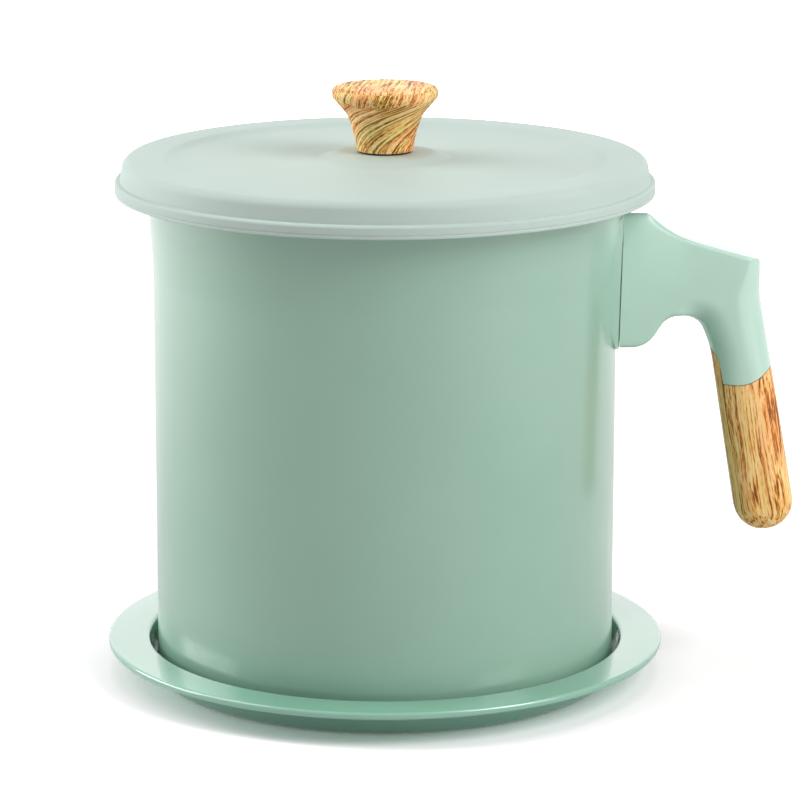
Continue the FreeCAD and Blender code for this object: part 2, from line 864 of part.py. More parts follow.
def make_handle_fixing():
    reach = out(s.handle_screw_reach)
    seat = pot_foot + down(s.heel_drop) + s.handle_screw_sink - s.washer_thick
    washer("handle_washer", s.head_radius, reach, seat)
    screw("handle_screw", s.handle_screw_length, reach, seat)
    seat = s.grip_screw_sink - s.washer_thick
    insert("grip_insert", *up_the_grip(insert_start), grip_lean)
    washer("grip_washer", s.head_radius, *up_the_grip(seat), grip_lean)
    screw("grip_screw", s.grip_screw_length, *up_the_grip(seat), grip_lean)


# how far up the grip's line the arm's insert begins, just past the tongue
tongue_top = s.grip_tip_drop - s.seam_drop + s.tongue_rise + s.handle_seam
insert_start = tongue_top * grip_hypotenuse / grip_rise + s.grip_insert_gap


def check_and_write():
    """Stops at any failed object, then writes each node to its own file."""
    doc.recompute()
    failed = [thing.Name for thing in doc.Objects
              if "Invalid" in thing.State or "Error" in thing.State]
    failed += [node.Label for node in nodes
               if node.Shape.isNull() or not node.Shape.isValid() or not node.Shape.Solids]
    if failed:
        raise SystemExit("not built: " + ", ".join(failed))
    os.makedirs("parts", exist_ok=True)
    for node in nodes:
        node.Shape.exportStep("parts/%s.step" % node.Label)
        print("%-16s %9.1f mm3" % (node.Label, node.Shape.Volume))


make_drip_tray()
make_pot_body()
make_strainer()
make_lid_panel()
make_knob()
make_knob_fixing()
make_bracket()
handle_form = make_handle_form()
make_arm(handle_form)
make_grip(handle_form)
make_handle_fixing()
check_and_write()
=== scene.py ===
import math

import bmesh
import bpy
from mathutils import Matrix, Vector


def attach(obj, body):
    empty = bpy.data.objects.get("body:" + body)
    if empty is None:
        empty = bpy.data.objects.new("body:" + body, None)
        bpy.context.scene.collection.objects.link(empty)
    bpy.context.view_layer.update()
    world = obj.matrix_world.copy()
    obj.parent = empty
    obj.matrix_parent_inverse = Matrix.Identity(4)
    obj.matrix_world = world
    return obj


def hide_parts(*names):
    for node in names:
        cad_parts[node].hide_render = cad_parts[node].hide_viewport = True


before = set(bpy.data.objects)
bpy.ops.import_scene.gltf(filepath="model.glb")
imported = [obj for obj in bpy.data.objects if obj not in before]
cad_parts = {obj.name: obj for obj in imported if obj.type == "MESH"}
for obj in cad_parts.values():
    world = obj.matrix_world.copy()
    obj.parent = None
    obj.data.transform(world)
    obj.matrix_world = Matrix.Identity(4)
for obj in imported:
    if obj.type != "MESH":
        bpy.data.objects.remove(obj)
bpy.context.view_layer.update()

mm = 0.001            # every measure below is in millimetres
sharpFrom = 32        # edges that turn by more degrees than this stay crisp


def toLinear(hexColour):
    channels = [int(hexColour[i:i + 2], 16) / 255 for i in (1, 3, 5)]
    linear = [c / 12.92 if c <= 0.04045 else ((c + 0.055) / 1.055) ** 2.4 for c in channels]
    return (*linear, 1.0)


def addNode(tree, kind, links=None, stops=None, **settings):
    # links: socket -> a value, or (node, output); settings: the node's own properties
    node = tree.nodes.new(kind)
    for key, value in settings.items():
        setattr(node, key, value)
    if stops:
        while len(node.color_ramp.elements) < len(stops):
            node.color_ramp.elements.new(0.5)
        for element, (place, colour) in zip(node.color_ramp.elements, stops):
            element.position = place
            element.color = toLinear(colour)
    for key, value in (links or {}).items():
        if isinstance(value, tuple) and isinstance(value[0], bpy.types.Node):
            tree.links.new(value[0].outputs[value[1]], node.inputs[key])
        else:
            node.inputs[key].default_value = value
    return node


def newMaterial(name):
    material = bpy.data.materials.new(name)
    material.use_nodes = True
    tree = material.node_tree
    tree.nodes.clear()
    place = addNode(tree, "ShaderNodeTexCoord")
    inMm = addNode(tree, "ShaderNodeMapping", {
        "Vector": (place, "Object"), "Scale": (1000, 1000, 1000)})
    return material, tree, inMm


def finishMaterial(tree, shader):
    addNode(tree, "ShaderNodeOutputMaterial", {"Surface": (shader, 0)})


def makeObject(name, vertices, faces, material, body, sharpAngle=sharpFrom):
    mesh = bpy.data.meshes.new(name)
    mesh.from_pydata([(x * mm, y * mm, z * mm) for x, y, z in vertices], [], faces)
    mesh.materials.append(material)
    tidy = bmesh.new()
    tidy.from_mesh(mesh)
    bmesh.ops.remove_doubles(tidy, verts=tidy.verts, dist=1e-7)
    bmesh.ops.recalc_face_normals(tidy, faces=tidy.faces)
    tidy.to_mesh(mesh)
    tidy.free()
    mesh.shade_smooth()
    mesh.set_sharp_from_angle(angle=math.radians(sharpAngle))
    thing = bpy.data.objects.new(name, mesh)
    bpy.context.scene.collection.objects.link(thing)
    if body:
        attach(thing, body)
    return thing


def roundedPath(corners, closed=True, arcStep=9):
    # corners of (across, up) or (across, up, radius) give a line with true arcs at its bends,
    # a point every arcStep degrees
    path = []
    count = len(corners)
    for i, corner in enumerate(corners):
        here = Vector(corner[:2])
        if len(corner) == 2 or (not closed and i in (0, count - 1)):
            path.append(here)
            continue
        back = (Vector(corners[i - 1][:2]) - here).normalized()
        ahead = (Vector(corners[(i + 1) % count][:2]) - here).normalized()
        half = back.angle(ahead) / 2
        radius = corner[2]
        centre = here + (back + ahead).normalized() * radius / math.sin(half)
        first = here + back * radius / math.tan(half) - centre
        sweep = math.pi - 2 * half
        turn = 1 if first.x * back.y - first.y * back.x < 0 else -1
        steps = max(2, math.ceil(math.degrees(sweep) / arcStep))
        for step in range(steps + 1):
            angle = turn * sweep * step / steps
            path.append(centre + Vector((first.x * math.cos(angle) - first.y * math.sin(angle),
                                         first.x * math.sin(angle) + first.y * math.cos(angle))))
    return path


def turned(name, corners, material, body, level=0.0, turns=160):
    # a sheet or solid piece spun about the pot's axis, in so many turns of its outline
    path = roundedPath(corners)
    vertices, rings = [], []
    for point in path:
        if point.x < 1e-6:
            rings.append([len(vertices)] * turns)
            vertices.append((0, 0, point.y + level))
            continue
        rings.append(range(len(vertices), len(vertices) + turns))
        for i in range(turns):
            angle = 2 * math.pi * i / turns
            vertices.append((point.x * math.cos(angle), point.x * math.sin(angle), point.y + level))
    faces = []
    for low, high in zip(rings, rings[1:] + rings[:1]):
        for i in range(turns):
            face = (low[i], low[(i + 1) % turns], high[(i + 1) % turns], high[i])
            face = tuple(dict.fromkeys(face))
            if len(face) > 2:
                faces.append(face)
    return makeObject(name, vertices, faces, material, body)


# Carbon steel with a sprayed and baked sage-green coating: an even, glossy colour with a
# soft broad highlight and the faint orange-peel of a sprayed film.
coatingLook = {
    "colour": "#90B5A1",
    "paler": "#96B9A6",
    "roughness": 0.36,
    "shinier": 0.03,     # how far the roughness strays to both sides
    "duller": 0.04,
    "ior": 1.5,
    "coat": 0.8,
    "coatRoughness": 0.17,
    "coatIor": 1.5,
    "peelMm": 1.6,       # width of one ripple of the sprayed film
    "cloudMm": 38,       # slow change in the film's thickness
}
# the lid's copy of the coating is duller than the wall's, and its paler colour is painted light: it
# stands in for the light its upward top catches and for the sheen the duller film lost
lidPaintedLightLook = {**coatingLook, "colour": "#BDCDC5", "paler": "#C2D1CA", "roughness": 0.58,
                  "ior": 1.36, "coat": 0.0}
# the tray's copy of the coating is glossier and deeper in colour than the wall's
trayCoatingLook = {**coatingLook, "colour": "#80B79F", "paler": "#86BBA4", "roughness": 0.24,
                   "coat": 1.0, "coatRoughness": 0.08, "coatIor": 1.7}


def sprayedSteel(name, look):
    material, tree, inMm = newMaterial(name)
    cloud = addNode(tree, "ShaderNodeTexNoise", {
        "Vector": (inMm, 0), "Scale": 1 / look["cloudMm"], "Detail": 3, "Roughness": 0.55})
    tint = addNode(tree, "ShaderNodeValToRGB", {"Fac": (cloud, "Fac")},
                   stops=[(0.3, look["colour"]), (0.75, look["paler"])])
    peel = addNode(tree, "ShaderNodeTexNoise", {
        "Vector": (inMm, 0), "Scale": 1 / look["peelMm"], "Detail": 2, "Roughness": 0.5})
    ripple = addNode(tree, "ShaderNodeBump", {
        "Height": (peel, "Fac"), "Strength": 0.05, "Distance": 0.2 * mm})
    sheen = addNode(tree, "ShaderNodeMapRange", {
        "Value": (cloud, "Fac"), "To Min": look["roughness"] - look["shinier"],
        "To Max": look["roughness"] + look["duller"]})
    shader = addNode(tree, "ShaderNodeBsdfPrincipled", {
        "Base Color": (tint, 0), "Roughness": (sheen, 0), "IOR": look["ior"],
        "Normal": (ripple, 0), "Coat Weight": look["coat"],
        "Coat Roughness": look["coatRoughness"], "Coat IOR": look["coatIor"]})
    finishMaterial(tree, shader)
    return material


# Glass-filled nylon, injection moulded and painted to match: softer shine than the steel,
# a very fine spark-eroded texture.
mouldingLook = {
    "colour": "#B4D5C4",
    "paler": "#B9D9C9",
    "roughness": 0.40,
    "shinier": 0.04,     # how far the roughness strays to both sides
    "duller": 0.04,
    "coat": 0.9,
    "coatRoughness": 0.18,
    "textureMm": 0.35,
    "cloudMm": 22,
}


def mouldedGreen(name, look):
    material, tree, inMm = newMaterial(name)
    cloud = addNode(tree, "ShaderNodeTexNoise", {
        "Vector": (inMm, 0), "Scale": 1 / look["cloudMm"], "Detail": 2})
    tint = addNode(tree, "ShaderNodeValToRGB", {"Fac": (cloud, "Fac")},
                   stops=[(0.3, look["colour"]), (0.7, look["paler"])])
    grit = addNode(tree, "ShaderNodeTexNoise", {
        "Vector": (inMm, 0), "Scale": 1 / look["textureMm"], "Detail": 2})
    texture = addNode(tree, "ShaderNodeBump", {
        "Height": (grit, "Fac"), "Strength": 0.06, "Distance": 0.1 * mm})
    sheen = addNode(tree, "ShaderNodeMapRange", {
        "Value": (cloud, "Fac"), "To Min": look["roughness"] - look["shinier"],
        "To Max": look["roughness"] + look["duller"]})
    shader = addNode(tree, "ShaderNodeBsdfPrincipled", {
        "Base Color": (tint, 0), "Roughness": (sheen, 0), "IOR": 1.5, "Normal": (texture, 0),
        "Coat Weight": look["coat"], "Coat Roughness": look["coatRoughness"]})
    finishMaterial(tree, shader)
    return material


# Phenolic moulding with a water-transfer printed wood grain under satin lacquer: brown
# lines and fine pores on honey, drawn out along the piece and wound where the film stretched.
grainLook = {
    "shades": ["#703606", "#A05C10", "#CC8836", "#F0B466", "#FFD092", "#FFE6B2"],
    "places": [0.385, 0.42, 0.448, 0.476, 0.508, 0.55],
    # each kind of mark: width in mm, how much longer than wide, share of the pattern
    "marks": [(1.5, 70, 0.32), (0.52, 60, 0.43), (0.28, 9, 0.25)],
    "patches": ["#FCF2D2", "#FFF7E4", "#FFE6CE"],  # slow change of hue over the film
    "patchPlaces": (0.40, 0.5, 0.60),
    "patchMm": 9.0,
    "wander": 4.8,        # how strongly the lines wander, and how quickly per mm across them
    "wanderPerMm": 0.09,
    "slowAlong": 0.3,     # the slow changes are longer than wide
    "roughness": 0.5,
    "ior": 1.42,
}
# the film stretches as it is drawn over the small knob: shorter, darker marks
knobGrainLook = {
    **grainLook,
    "shades": ["#562600", "#8A4C06", "#C8842F", "#F4BC6C", "#FFDC9C", "#FFF2C6"],
    "places": [0.40, 0.43, 0.455, 0.49, 0.518, 0.55],
    "marks": [(1.3, 22, 0.36), (0.55, 12, 0.34), (0.28, 3, 0.30)],
    "patches": ["#F2F0CC", "#FFF4E0", "#FFDCC4"],
    "patchMm": 6.0,
}
# the way the grain takes over each piece, in mm and degrees; turns round the knob in radians
gripFlow = {"from": (104, 0, 60), "lean": 9.8}
knobFlow = {
    "seat": 146.8,         # the level that heights are counted from
    "stem": 13.4,          # up to this height a line turns by wind * height ** windPower
    "wind": -0.058,
    "windPower": 1.4,
    "rimWind": -0.03,      # and above it by so much more per mm
    "ring": (10, 17),      # radius that the lines are laid out on, for the stem and for the rim
    "ringChange": (16.0, 16.2),  # height, wobble added, at which the rim takes over
    "wobble": 5.0,
    "wobbleFineness": 3.0,
    "topChange": (17.0, 17.1),   # height from which they run straight over the top
    "topLean": 4,
}


def alongGrip(tree, inMm, flow):
    # the grain runs down the leaning grip
    moved = addNode(tree, "ShaderNodeVectorMath", {
        0: (inMm, 0), 1: flow["from"]}, operation="SUBTRACT")
    return addNode(tree, "ShaderNodeMapping", {
        "Vector": (moved, 0), "Rotation": (0, math.radians(flow["lean"]), 0)})


def aroundKnob(tree, inMm, flow):
    # the grain winds round the knob's stem, stands up again towards its rim and runs straight
    # over the top
    apart = addNode(tree, "ShaderNodeSeparateXYZ", {"Vector": (inMm, 0)})
    rise = addNode(tree, "ShaderNodeMath", {
        0: (apart, "Z"), 1: flow["seat"]}, operation="SUBTRACT")
    stem = addNode(tree, "ShaderNodeMath", {0: (rise, 0), 1: flow["stem"]}, operation="MINIMUM")
    steeper = addNode(tree, "ShaderNodeMath", {
        0: (stem, 0), 1: flow["windPower"]}, operation="POWER")
    onStem = addNode(tree, "ShaderNodeMath", {
        0: (steeper, 0), 1: flow["wind"]}, operation="MULTIPLY")
    rim = addNode(tree, "ShaderNodeMath", {0: (rise, 0), 1: (stem, 0)}, operation="SUBTRACT")
    wind = addNode(tree, "ShaderNodeMath", {
        0: (rim, 0), 1: flow["rimWind"], 2: (onStem, 0)}, operation="MULTIPLY_ADD")
    flat = addNode(tree, "ShaderNodeCombineXYZ", {"X": (apart, "X"), "Y": (apart, "Y")})
    wound = addNode(tree, "ShaderNodeVectorRotate", {
        "Vector": (flat, 0), "Angle": (wind, 0)}, rotation_type="Z_AXIS")
    outward = addNode(tree, "ShaderNodeVectorMath", {0: (wound, 0)}, operation="NORMALIZE")
    wobble = addNode(tree, "ShaderNodeTexNoise", {
        "Vector": (outward, 0), "Scale": flow["wobbleFineness"], "Detail": 1})
    border = addNode(tree, "ShaderNodeMath", {
        0: (wobble, "Fac"), 1: flow["wobble"], 2: (rise, 0)}, operation="MULTIPLY_ADD")
    ring = addNode(tree, "ShaderNodeMapRange", {
        "Value": (border, 0), "From Min": flow["ringChange"][0], "From Max": flow["ringChange"][1],
        "To Min": flow["ring"][0], "To Max": flow["ring"][1]})
    onRing = addNode(tree, "ShaderNodeVectorMath", {
        0: (outward, 0), "Scale": (ring, 0)}, operation="SCALE")
    upward = addNode(tree, "ShaderNodeCombineXYZ", {"Z": (rise, 0)})
    around = addNode(tree, "ShaderNodeVectorMath", {
        0: (onRing, 0), 1: (upward, 0)}, operation="ADD")
    lean = addNode(tree, "ShaderNodeVectorRotate", {
        "Vector": (flat, 0), "Angle": math.radians(flow["topLean"])}, rotation_type="Z_AXIS")
    leant = addNode(tree, "ShaderNodeSeparateXYZ", {"Vector": (lean, 0)})
    over = addNode(tree, "ShaderNodeCombineXYZ", {"X": (leant, "X"), "Z": (leant, "Y")})
    top = addNode(tree, "ShaderNodeMapRange", {
        "Value": (rise, 0), "From Min": flow["topChange"][0], "From Max": flow["topChange"][1]})
    change = addNode(tree, "ShaderNodeVectorMath", {
        0: (over, 0), 1: (around, 0)}, operation="SUBTRACT")
    return addNode(tree, "ShaderNodeVectorMath", {
        0: (change, 0), 1: (top, 0), 2: (around, 0)}, operation="MULTIPLY_ADD")


def printedGrain(name, look, layOut, flow):
    material, tree, inMm = newMaterial(name)
    along = layOut(tree, inMm, flow)
    slow = addNode(tree, "ShaderNodeMapping", {
        "Vector": (along, 0), "Scale": (1, 1, look["slowAlong"])})
    drift = addNode(tree, "ShaderNodeTexNoise", {
        "Vector": (slow, 0), "Scale": look["wanderPerMm"], "Detail": 2, "Roughness": 0.5})
    middle = addNode(tree, "ShaderNodeVectorMath", {
        0: (drift, "Color"), 1: (0.5, 0.5, 0.5)}, operation="SUBTRACT")
    pushed = addNode(tree, "ShaderNodeVectorMath", {
        0: (middle, 0), "Scale": look["wander"]}, operation="SCALE")
    warped = addNode(tree, "ShaderNodeVectorMath", {0: (along, 0), 1: (pushed, 0)}, operation="ADD")
    total = 0.0
    for width, stretch, weight in look["marks"]:
        drawn = addNode(tree, "ShaderNodeMapping", {
            "Vector": (warped, 0), "Scale": (1, 1, 1 / stretch)})
        mark = addNode(tree, "ShaderNodeTexNoise", {
            "Vector": (drawn, 0), "Scale": 1 / width, "Detail": 2, "Roughness": 0.55})
        added = addNode(tree, "ShaderNodeMath", {
            0: (mark, "Fac"), 1: weight, 2: total}, operation="MULTIPLY_ADD")
        total = (added, 0)
    tint = addNode(tree, "ShaderNodeValToRGB", {"Fac": total},
                   stops=list(zip(look["places"], look["shades"])))
    area = addNode(tree, "ShaderNodeTexNoise", {
        "Vector": (slow, 0), "Scale": 1 / look["patchMm"], "Detail": 1, "Roughness": 0.5})
    hue = addNode(tree, "ShaderNodeValToRGB", {"Fac": (area, "Fac")},
                  stops=list(zip(look["patchPlaces"], look["patches"])))
    both = addNode(tree, "ShaderNodeVectorMath", {0: (tint, 0), 1: (hue, 0)}, operation="MULTIPLY")
    relief = addNode(tree, "ShaderNodeBump", {
        "Height": total, "Strength": 0.1, "Distance": 0.1 * mm})
    shader = addNode(tree, "ShaderNodeBsdfPrincipled", {
        "Base Color": (both, 0), "Roughness": look["roughness"], "IOR": look["ior"],
        "Normal": (relief, 0)})
    finishMaterial(tree, shader)
    return material


# 18/8 stainless steel, deep drawn and spun with a fine abrasive: rings around the axis.
spunLook = {"colour": "#BDBDB8", "roughness": 0.28, "shinier": 0.07, "duller": 0.1, "lineMm": 0.5}


def spunStainless(name, look):
    material, tree, inMm = newMaterial(name)
    apart = addNode(tree, "ShaderNodeSeparateXYZ", {"Vector": (inMm, 0)})
    across = addNode(tree, "ShaderNodeCombineXYZ", {"X": (apart, "X"), "Y": (apart, "Y")})
    fromAxis = addNode(tree, "ShaderNodeVectorMath", {0: (across, 0)}, operation="LENGTH")
    ring = addNode(tree, "ShaderNodeCombineXYZ", {"X": (fromAxis, "Value"), "Z": (apart, "Z")})
    lines = addNode(tree, "ShaderNodeTexNoise", {
        "Vector": (ring, 0), "Scale": 1 / look["lineMm"], "Detail": 3})
    sheen = addNode(tree, "ShaderNodeMapRange", {
        "Value": (lines, "Fac"), "To Min": look["roughness"] - look["shinier"],
        "To Max": look["roughness"] + look["duller"]})
    scratch = addNode(tree, "ShaderNodeBump", {
        "Height": (lines, "Fac"), "Strength": 0.1, "Distance": 0.05 * mm})
    shader = addNode(tree, "ShaderNodeBsdfPrincipled", {
        "Base Color": toLinear(look["colour"]), "Metallic": 1.0, "Roughness": (sheen, 0),
        "Normal": (scratch, 0)})
    finishMaterial(tree, shader)
    return material


# Drawn wire, zinc-plated screws and washers, turned brass, nitrile rubber: small plain
# parts whose surface is a mottle of the size given.
smallLooks = {
    "drawnStainlessWire": {"colour": "#B4B4B0", "paler": "#C6C6C2", "metallic": 1.0,
                           "roughness": 0.30, "mottleMm": 0.9},
    "zincPlatedSteel": {"colour": "#B7BABD", "paler": "#C9CBCC", "metallic": 1.0,
                        "roughness": 0.32, "mottleMm": 1.4},
    "turnedBrass": {"colour": "#B08D45", "paler": "#C5A65E", "metallic": 1.0,
                    "roughness": 0.30, "mottleMm": 0.8},
    "nitrileRubber": {"colour": "#141414", "paler": "#1F1F1E", "metallic": 0.0,
                      "roughness": 0.72, "mottleMm": 0.6},
}
smallStrays = {"shinier": 0.06, "duller": 0.08}  # how far their roughness strays to both sides


def smallPart(name, look):
    material, tree, inMm = newMaterial(name)
    mottle = addNode(tree, "ShaderNodeTexNoise", {
        "Vector": (inMm, 0), "Scale": 1 / look["mottleMm"], "Detail": 3})
    tint = addNode(tree, "ShaderNodeValToRGB", {"Fac": (mottle, "Fac")},
                   stops=[(0.35, look["colour"]), (0.7, look["paler"])])
    sheen = addNode(tree, "ShaderNodeMapRange", {
        "Value": (mottle, "Fac"), "To Min": look["roughness"] - smallStrays["shinier"],
        "To Max": look["roughness"] + smallStrays["duller"]})
    relief = addNode(tree, "ShaderNodeBump", {
        "Height": (mottle, "Fac"), "Strength": 0.05, "Distance": 0.05 * mm})
    shader = addNode(tree, "ShaderNodeBsdfPrincipled", {
        "Base Color": (tint, 0), "Metallic": look["metallic"], "Roughness": (sheen, 0),
        "Normal": (relief, 0)})
    finishMaterial(tree, shader)
    return material


coatedSteel = sprayedSteel("bakedGreenCoating", coatingLook)
# the lid's copy: its paler colour is painted light
coatedLidPaintedLight = sprayedSteel("bakedGreenCoatingLidPaintedLight", lidPaintedLightLook)
coatedTray = sprayedSteel("bakedGreenCoatingTray", trayCoatingLook)
greenMoulding = mouldedGreen("paintedNylonMoulding", mouldingLook)
gripGrain = printedGrain("printedGrainGrip", grainLook, alongGrip, gripFlow)
knobGrain = printedGrain("printedGrainKnob", knobGrainLook, aroundKnob, knobFlow)
stainless = spunStainless("spunStainless", spunLook)
wire, zinc, brass, rubber = [smallPart(name, look) for name, look in smallLooks.items()]
print("materials made")


# radii and heights of the tray in mm; hem is the width of its turned-down lip
tray = {"base": 64.6, "mouth": 67.0, "lip": 77.5, "height": 10.2, "sheet": 0.8, "lipDrop": 1.9,
        "hem": 1.4}


def makeTray(size):
    sheet = size["sheet"]
    high = size["height"]
    lipIn = size["lip"] - size["hem"]
    lipLow = high - size["lipDrop"]
    piece = turned("tray_pressing", [
        (0, 0), (size["base"], 0, 2.4), (size["mouth"], high - sheet, 1.2),
        (lipIn, high - sheet, 0.3), (lipIn, lipLow, 0.4),
        (size["lip"], lipLow, 0.6), (size["lip"], high, 0.75),
        (size["mouth"] - sheet, high, 1.3), (size["base"] - sheet, sheet, 1.6), (0, sheet),
    ], coatedTray, "tray", turns=240)
    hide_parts("drip_tray")


makeTray(tray)
print("tray made")


# foot is how high the pot stands; its wall widens to the neck between neckLow and neckHigh, and
# its floor is dished up by dishRise
pot = {"foot": 0.8, "radius": 63.75, "height": 142.7, "sheet": 0.8, "corner": 6.0, "neck": 64.75,
       "neckLow": 113.2, "neckHigh": 129.2, "neckRound": 60, "rim": 70.0, "rimDrop": 2.8,
       "hem": 2.2, "dish": 47.0, "dishRise": 1.0, "dishSlope": 1.0}


def makePot(size):
    sheet = size["sheet"]
    high = size["height"]
    rimIn = size["rim"] - size["hem"]
    neckIn = size["neck"] - sheet
    dishIn = size["dish"] - size["dishSlope"]
    bend = size["neckRound"]
    piece = turned("pot_shell", [
        (0, size["dishRise"]), (dishIn, size["dishRise"], 0.8), (size["dish"], 0, 0.8),
        (size["radius"], 0, size["corner"]), (size["radius"], size["neckLow"], bend),
        (size["neck"], size["neckHigh"], bend), (size["neck"], high - sheet, 0.8),
        (rimIn, high - sheet, 0.2), (rimIn, high - size["rimDrop"], 0.4),
        (size["rim"], high - size["rimDrop"], 0.95), (size["rim"], high, 0.95),
        (neckIn, high, 1.6), (neckIn, size["neckHigh"], bend),
        (size["radius"] - sheet, size["neckLow"], bend),
        (size["radius"] - sheet, sheet, size["corner"] - sheet), (size["dish"] + sheet, sheet, 0.8),
        (dishIn + sheet, size["dishRise"] + sheet, 0.8), (0, size["dishRise"] + sheet),
    ], coatedSteel, "pot", size["foot"], turns=240)
    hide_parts("pot_body")


makePot(pot)
print("pot made")


# top is the level of the flat ring; the rolled band with its scored line stands out from the
# skirt's lower edge, and the raised middle (boss) carries the knob
lid = {"top": 145.0, "sheet": 0.8, "band": 74.0, "bandHeight": 3.5, "bandWide": 1.4,
       "skirt": 72.5, "skirtHeight": 9.3, "shoulder": 71.7, "shoulderRound": 2.6,
       "recess": 60.8, "recessSlope": 2.6, "recessDepth": 1.0, "recessRound": 4.0, "dome": 0.7,
       "boss": 17.6, "bossSlope": 4.0, "bossRise": 1.6, "softRound": 7.0, "hole": 2.1,
       "groove": 0.95, "grooveHalf": 0.22, "grooveDeep": 0.2}


def makeLid(size):
    sheet = size["sheet"]
    floor = -size["recessDepth"]
    dome = floor + size["dome"]
    top = dome + size["bossRise"]
    low = -size["skirtHeight"]
    high = low + size["bandHeight"]
    groove = low + size["groove"]
    notch = size["grooveHalf"]
    bossIn = size["boss"] - size["bossSlope"]
    recessIn = size["recess"] - size["recessSlope"]
    bandIn = size["band"] - size["bandWide"]
    soft = size["softRound"]
    piece = turned("lid_pressing", [
        (size["hole"], top), (bossIn, top, soft), (size["boss"], dome, soft),
        (recessIn, floor, soft), (size["recess"], 0, size["recessRound"]),
        (size["shoulder"], 0, size["shoulderRound"]),
        (size["skirt"], high, 0.25), (size["band"], high, 0.8), (size["band"], groove + notch, 0.1),
        (size["band"] - size["grooveDeep"], groove, 0.1), (size["band"], groove - notch, 0.1),
        (size["band"], low, 0.35), (bandIn, low, 0.35), (bandIn, high - sheet),
        (size["skirt"] - sheet, high - sheet),
        (size["shoulder"] - sheet, -sheet, size["shoulderRound"] - sheet),
        (size["recess"], -sheet, size["recessRound"]), (recessIn, floor - sheet, soft),
        (size["boss"], dome - sheet, soft), (bossIn, top - sheet, soft),
        (size["hole"], top - sheet),
    ], coatedLidPaintedLight, "lid", size["top"], turns=240)
    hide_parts("lid_panel")


makeLid(lid)
print("lid made")


# seat is the level of the knob's underside, and every rise is counted from it
knob = {"seat": knobFlow["seat"], "base": 7.85, "waistRise": 3.2, "waist": 8.0, "flareRise": 9.9,
        "flare": 10.3, "rimRise": 14.9, "radius": 14.6, "rimHeight": 2.6, "crown": 0.6,
        "bore": 2.95, "boreRise": 9.6}


def makeKnob(size):
    top = size["rimRise"] + size["rimHeight"]
    piece = turned("knob_turned", [
        (size["bore"], 0), (size["base"], 0, 0.35), (size["waist"], size["waistRise"], 20),
        (size["flare"], size["flareRise"], 9), (size["radius"], size["rimRise"], 2.1),
        (size["radius"], top, 1.7), (0, top + size["crown"]), (0, size["boreRise"]),
        (size["bore"], size["boreRise"]),
    ], knobGrain, "lid", size["seat"], turns=128)
    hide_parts("lid_knob")


makeKnob(knob)
print("knob made")


handle = {
    # side outline in (out, up); the third number rounds that corner
    "top": [(60, 129.3), (72.25, 129.3, 1.6), (79.55, 123.2, 28), (103.25, 117.1, 1.8)],
    "side": [(103.25, 107.0, 30), (115.25, 40.2, 8.0)],
    "tip": [(98.45, 40.2, 8.0)],
    "under": [(90.2, 91.5, 30), (86.0, 101.6, 7.2), (77.6, 102.0, 5.6), (71.8, 93.1, 7.5),
              (60, 93.1)],
    # where these lines would run on past elbow and tip: depths are measured from them
    "topOn": (140, 107.64), "sideOn": [(103.25, 150), (120, 13.7)], "underOn": (102.15, 16.6),
    # half-width at the pot and at the far end, the rounds of the edges, and the length over
    # which the corners of the top line fade in the flank below it
    "rootHalf": 9.2, "tipHalf": 7.4, "rootAt": 55.25, "tipAt": 121.85,
    "sideRound": 6.5, "innerRound": 1.3, "tipRound": 6.4, "edgeRound": 1.0, "topEase": 7,
    # the elbow's outer edge: where the face ends, how steeply it leaves, the round after it,
    # and the heights between which this fold comes in
    "elbowFrom": 6.7, "elbowSlope": 0.36, "elbowRound": 4.6, "foldComes": (72, 100),
    # the finger side: the steep lip and the long soft fall of the face towards it
    "lipWide": 1.6, "lipDeep": 2.1, "lipPower": 1.6, "fallWide": 7.5, "fallDeep": 4.0,
    # how far out these come in, and the small round of the heel goes
    "lipComes": (84, 88.5), "fallComes": (80, 87), "heelGoes": (82, 87),
    # the grip lies out from and below this corner; from this height down, over this length, its
    # end grows round
    "gripOut": 90, "gripBelow": 80, "endFrom": 76, "endOver": 30,
    # the root's seat round the pot is a little wider at the top than at the heel
    "seatRadius": 64.95, "seatWider": 0.7, "seatFrom": 93.1, "seatHeight": 36.2,
    "seatMiddle": (65.4, 0, 111),
    # the mesh: lines across, steps up the flank, places across the narrow sides; and where the
    # lines from both sides meet under the tip
    "stations": 170, "flankSteps": 30, "bridge": (-0.97, -0.6, -0.2, 0.2, 0.6, 0.97),
    "fineSteps": 1200, "tipMeets": (106.8, 40.2), "tipGap": 0.35,
}
# thumb rest: along the top from root to elbow, (out, half-width of the facet, depth of the
# flank that widens under it, how fast it widens)
thumbRest = [(60, 1.4, 26, 2.2), (72, 1.4, 26, 2.2), (80, 2.9, 22, 2.1),
             (88, 4.7, 17, 1.8), (96, 5.9, 14, 1.7), (104, 6.2, 13, 1.7)]
# which places on the upper line and on the under line face each other, in (out, up)
facing = [((66, 129.3), (66, 93.1)), ((72.3, 129.3), (70.5, 93.3)), ((75, 126.9), (73.5, 95.6)),
          ((79, 124.3), (76.5, 100.3)), ((84, 122.0), (79.5, 102.0)), ((91, 120.0), (83, 101.8)),
          ((98, 118.3), (86, 99.6)), ((103.2, 117.1), (88.3, 96.5)), ((103.3, 112), (89.1, 94.3)),
          ((103.4, 106), (90.0, 91.6)), ((105.5, 95), (91.1, 86.0)), ((107.4, 84), (92.2, 79.0)),
          ((109.6, 72), (94.2, 67.5)), ((111.7, 60), (96.0, 56.5)), ((113.4, 49.8), (97.6, 47.2))]


